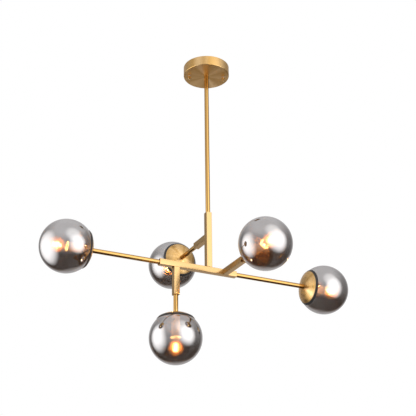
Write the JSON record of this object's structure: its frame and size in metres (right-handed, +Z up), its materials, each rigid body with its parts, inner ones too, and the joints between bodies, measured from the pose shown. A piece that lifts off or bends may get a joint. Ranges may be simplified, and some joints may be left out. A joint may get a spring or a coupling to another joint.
{
  "type": "branch chandelier",
  "caption": "Ceiling light with a round canopy, a long stem and a frame of square bars; round arms branch left, right, front, back and down to capped smoked glass globes.",
  "frame": {"origin": "middle of the ceiling bracket's top face, which lies on the ceiling, between its two ceiling screw holes", "axes": "+Z up along the stem, +X along the main bar towards its short right end, +Y towards the arm that leaves the upright bar"},
  "size_m": [0.993, 0.6595, 0.9995],
  "materials": {
    "brushed_brass": "brushed",
    "polished_brass": "polished",
    "dark_brass": "satin",
    "zinc_steel": "zinc plated",
    "black_rubber": "matt",
    "holder_enamel": "gloss",
    "smoke_glass": "smoked, half mirrored",
    "lamp_glass": "clear, warm",
    "lamp_base": "polished",
    "white_nylon": "matt",
    "lead_sleeve": "matt"
  },
  "bodies": {
    "ceiling": {"ceiling_bracket": "zinc_steel", "bracket_studs": "zinc_steel", "stud_locknuts": "zinc_steel", "earth_screw": "brushed_brass"},
    "canopy": {"canopy": "brushed_brass", "nut_washers": "white_nylon"},
    "cap_nut_left": {"cap_nut_left": "brushed_brass"},
    "cap_nut_right": {"cap_nut_right": "brushed_brass"},
    "stem": {"stem_nipple": "zinc_steel", "stem_washer": "zinc_steel", "stem_locknut": "zinc_steel", "terminal_bracket": "zinc_steel", "terminal_block": "white_nylon", "terminal_screws": "brushed_brass", "stem": "brushed_brass", "upright_bar": "polished_brass", "main_bar": "polished_brass", "front_bar": "polished_brass", "back_bar": "polished_brass", "down_bar": "polished_brass", "bar_end_plugs": "dark_brass", "bar_root_plugs": "dark_brass", "bar_nipples": "zinc_steel", "bar_locknuts": "zinc_steel", "rod_nipples": "zinc_steel", "head_locknuts": "zinc_steel", "rod_left": "brushed_brass", "rod_right": "brushed_brass", "rod_front": "brushed_brass", "rod_back": "brushed_brass", "rod_down": "brushed_brass", "cap_left": "brushed_brass", "cap_right": "brushed_brass", "cap_front": "brushed_brass", "cap_back": "brushed_brass", "cap_down": "brushed_brass", "gaskets": "black_rubber", "claw_plates": "brushed_brass", "claw_knobs": "brushed_brass", "lampholder_left": "holder_enamel", "lampholder_right": "holder_enamel", "lampholder_front": "holder_enamel", "lampholder_back": "holder_enamel", "lampholder_down": "holder_enamel", "leads": "lead_sleeve"},
    "globe_left": {"globe_left": "smoke_glass"},
    "globe_right": {"globe_right": "smoke_glass"},
    "globe_front": {"globe_front": "smoke_glass"},
    "globe_back": {"globe_back": "smoke_glass"},
    "globe_down": {"globe_down": "smoke_glass"},
    "bulb_base_left": {"bulb_base_left": "lamp_base"},
    "bulb_base_right": {"bulb_base_right": "lamp_base"},
    "bulb_base_front": {"bulb_base_front": "lamp_base"},
    "bulb_base_back": {"bulb_base_back": "lamp_base"},
    "bulb_base_down": {"bulb_base_down": "lamp_base"},
    "bulb_left": {"bulb_left": "lamp_glass"},
    "bulb_right": {"bulb_right": "lamp_glass"},
    "bulb_front": {"bulb_front": "lamp_glass"},
    "bulb_back": {"bulb_back": "lamp_glass"},
    "bulb_down": {"bulb_down": "lamp_glass"}
  },
  "joints": [
    {"name": "canopy_drop", "type": "slide", "parent": "ceiling", "child": "canopy", "axis": [0, 0, -1], "range_m": [0, 0.007]},
    {"name": "cap_nut_left_turn", "type": "hinge", "parent": "canopy", "child": "cap_nut_left", "pos_m": [-0.05088, 0.01953, -0.0333], "axis": [0, 0, -1], "range_deg": [0, 3601]},
    {"name": "cap_nut_right_turn", "type": "hinge", "parent": "canopy", "child": "cap_nut_right", "pos_m": [0.05088, -0.01953, -0.0333], "axis": [0, 0, -1], "range_deg": [0, 3601]},
    {"name": "stem_swivel", "type": "hinge", "parent": "canopy", "child": "stem", "pos_m": [0, 0, 0], "axis": [0, 0, 1], "range_deg": [-170, 170]},
    {"name": "globe_left_off", "type": "slide", "parent": "stem", "child": "globe_left", "axis": [-1, 0, 0], "range_m": [0, 0.12]},
    {"name": "globe_right_off", "type": "slide", "parent": "stem", "child": "globe_right", "axis": [1, 0, 0], "range_m": [0, 0.12]},
    {"name": "globe_front_off", "type": "slide", "parent": "stem", "child": "globe_front", "axis": [0, -1, 0], "range_m": [0, 0.12]},
    {"name": "globe_back_off", "type": "slide", "parent": "stem", "child": "globe_back", "axis": [0, 1, 0], "range_m": [0, 0.12]},
    {"name": "globe_down_off", "type": "slide", "parent": "stem", "child": "globe_down", "axis": [0, 0, -1], "range_m": [0, 0.12]},
    {"name": "lamp_left_out", "type": "slide", "parent": "stem", "child": "bulb_base_left", "axis": [-1, 0, 0], "range_m": [0, 0.0169]},
    {"name": "lamp_left_unscrew", "type": "hinge", "parent": "bulb_base_left", "child": "bulb_left", "pos_m": [-0.4405, 0, -0.702], "axis": [-1, 0, 0], "range_deg": [0, 2157]},
    {"name": "lamp_right_out", "type": "slide", "parent": "stem", "child": "bulb_base_right", "axis": [1, 0, 0], "range_m": [0, 0.0169]},
    {"name": "lamp_right_unscrew", "type": "hinge", "parent": "bulb_base_right", "child": "bulb_right", "pos_m": [0.4005, 0, -0.702], "axis": [1, 0, 0], "range_deg": [0, 2157]},
    {"name": "lamp_front_out", "type": "slide", "parent": "stem", "child": "bulb_base_front", "axis": [0, -1, 0], "range_m": [0, 0.0169]},
    {"name": "lamp_front_unscrew", "type": "hinge", "parent": "bulb_base_front", "child": "bulb_front", "pos_m": [0.052, -0.2495, -0.702], "axis": [0, -1, 0], "range_deg": [0, 2157]},
    {"name": "lamp_back_out", "type": "slide", "parent": "stem", "child": "bulb_base_back", "axis": [0, 1, 0], "range_m": [0, 0.0169]},
    {"name": "lamp_back_unscrew", "type": "hinge", "parent": "bulb_base_back", "child": "bulb_back", "pos_m": [0, 0.258, -0.594], "axis": [0, 1, 0], "range_deg": [0, 2157]},
    {"name": "lamp_down_out", "type": "slide", "parent": "stem", "child": "bulb_base_down", "axis": [0, 0, -1], "range_m": [0, 0.0169]},
    {"name": "lamp_down_unscrew", "type": "hinge", "parent": "bulb_base_down", "child": "bulb_down", "pos_m": [-0.106, 0, -0.9235], "axis": [0, 0, -1], "range_deg": [0, 2157]}
  ],
  "couplings": [
    {"joint": "cap_nut_left_turn", "follows": "canopy_drop", "rad_per_m": 8976},
    {"joint": "cap_nut_right_turn", "follows": "canopy_drop", "rad_per_m": 8976},
    {"joint": "lamp_left_unscrew", "follows": "lamp_left_out", "rad_per_m": 2226.5},
    {"joint": "lamp_right_unscrew", "follows": "lamp_right_out", "rad_per_m": 2226.5},
    {"joint": "lamp_front_unscrew", "follows": "lamp_front_out", "rad_per_m": 2226.5},
    {"joint": "lamp_back_unscrew", "follows": "lamp_back_out", "rad_per_m": 2226.5},
    {"joint": "lamp_down_unscrew", "follows": "lamp_down_out", "rad_per_m": 2226.5}
  ]
}
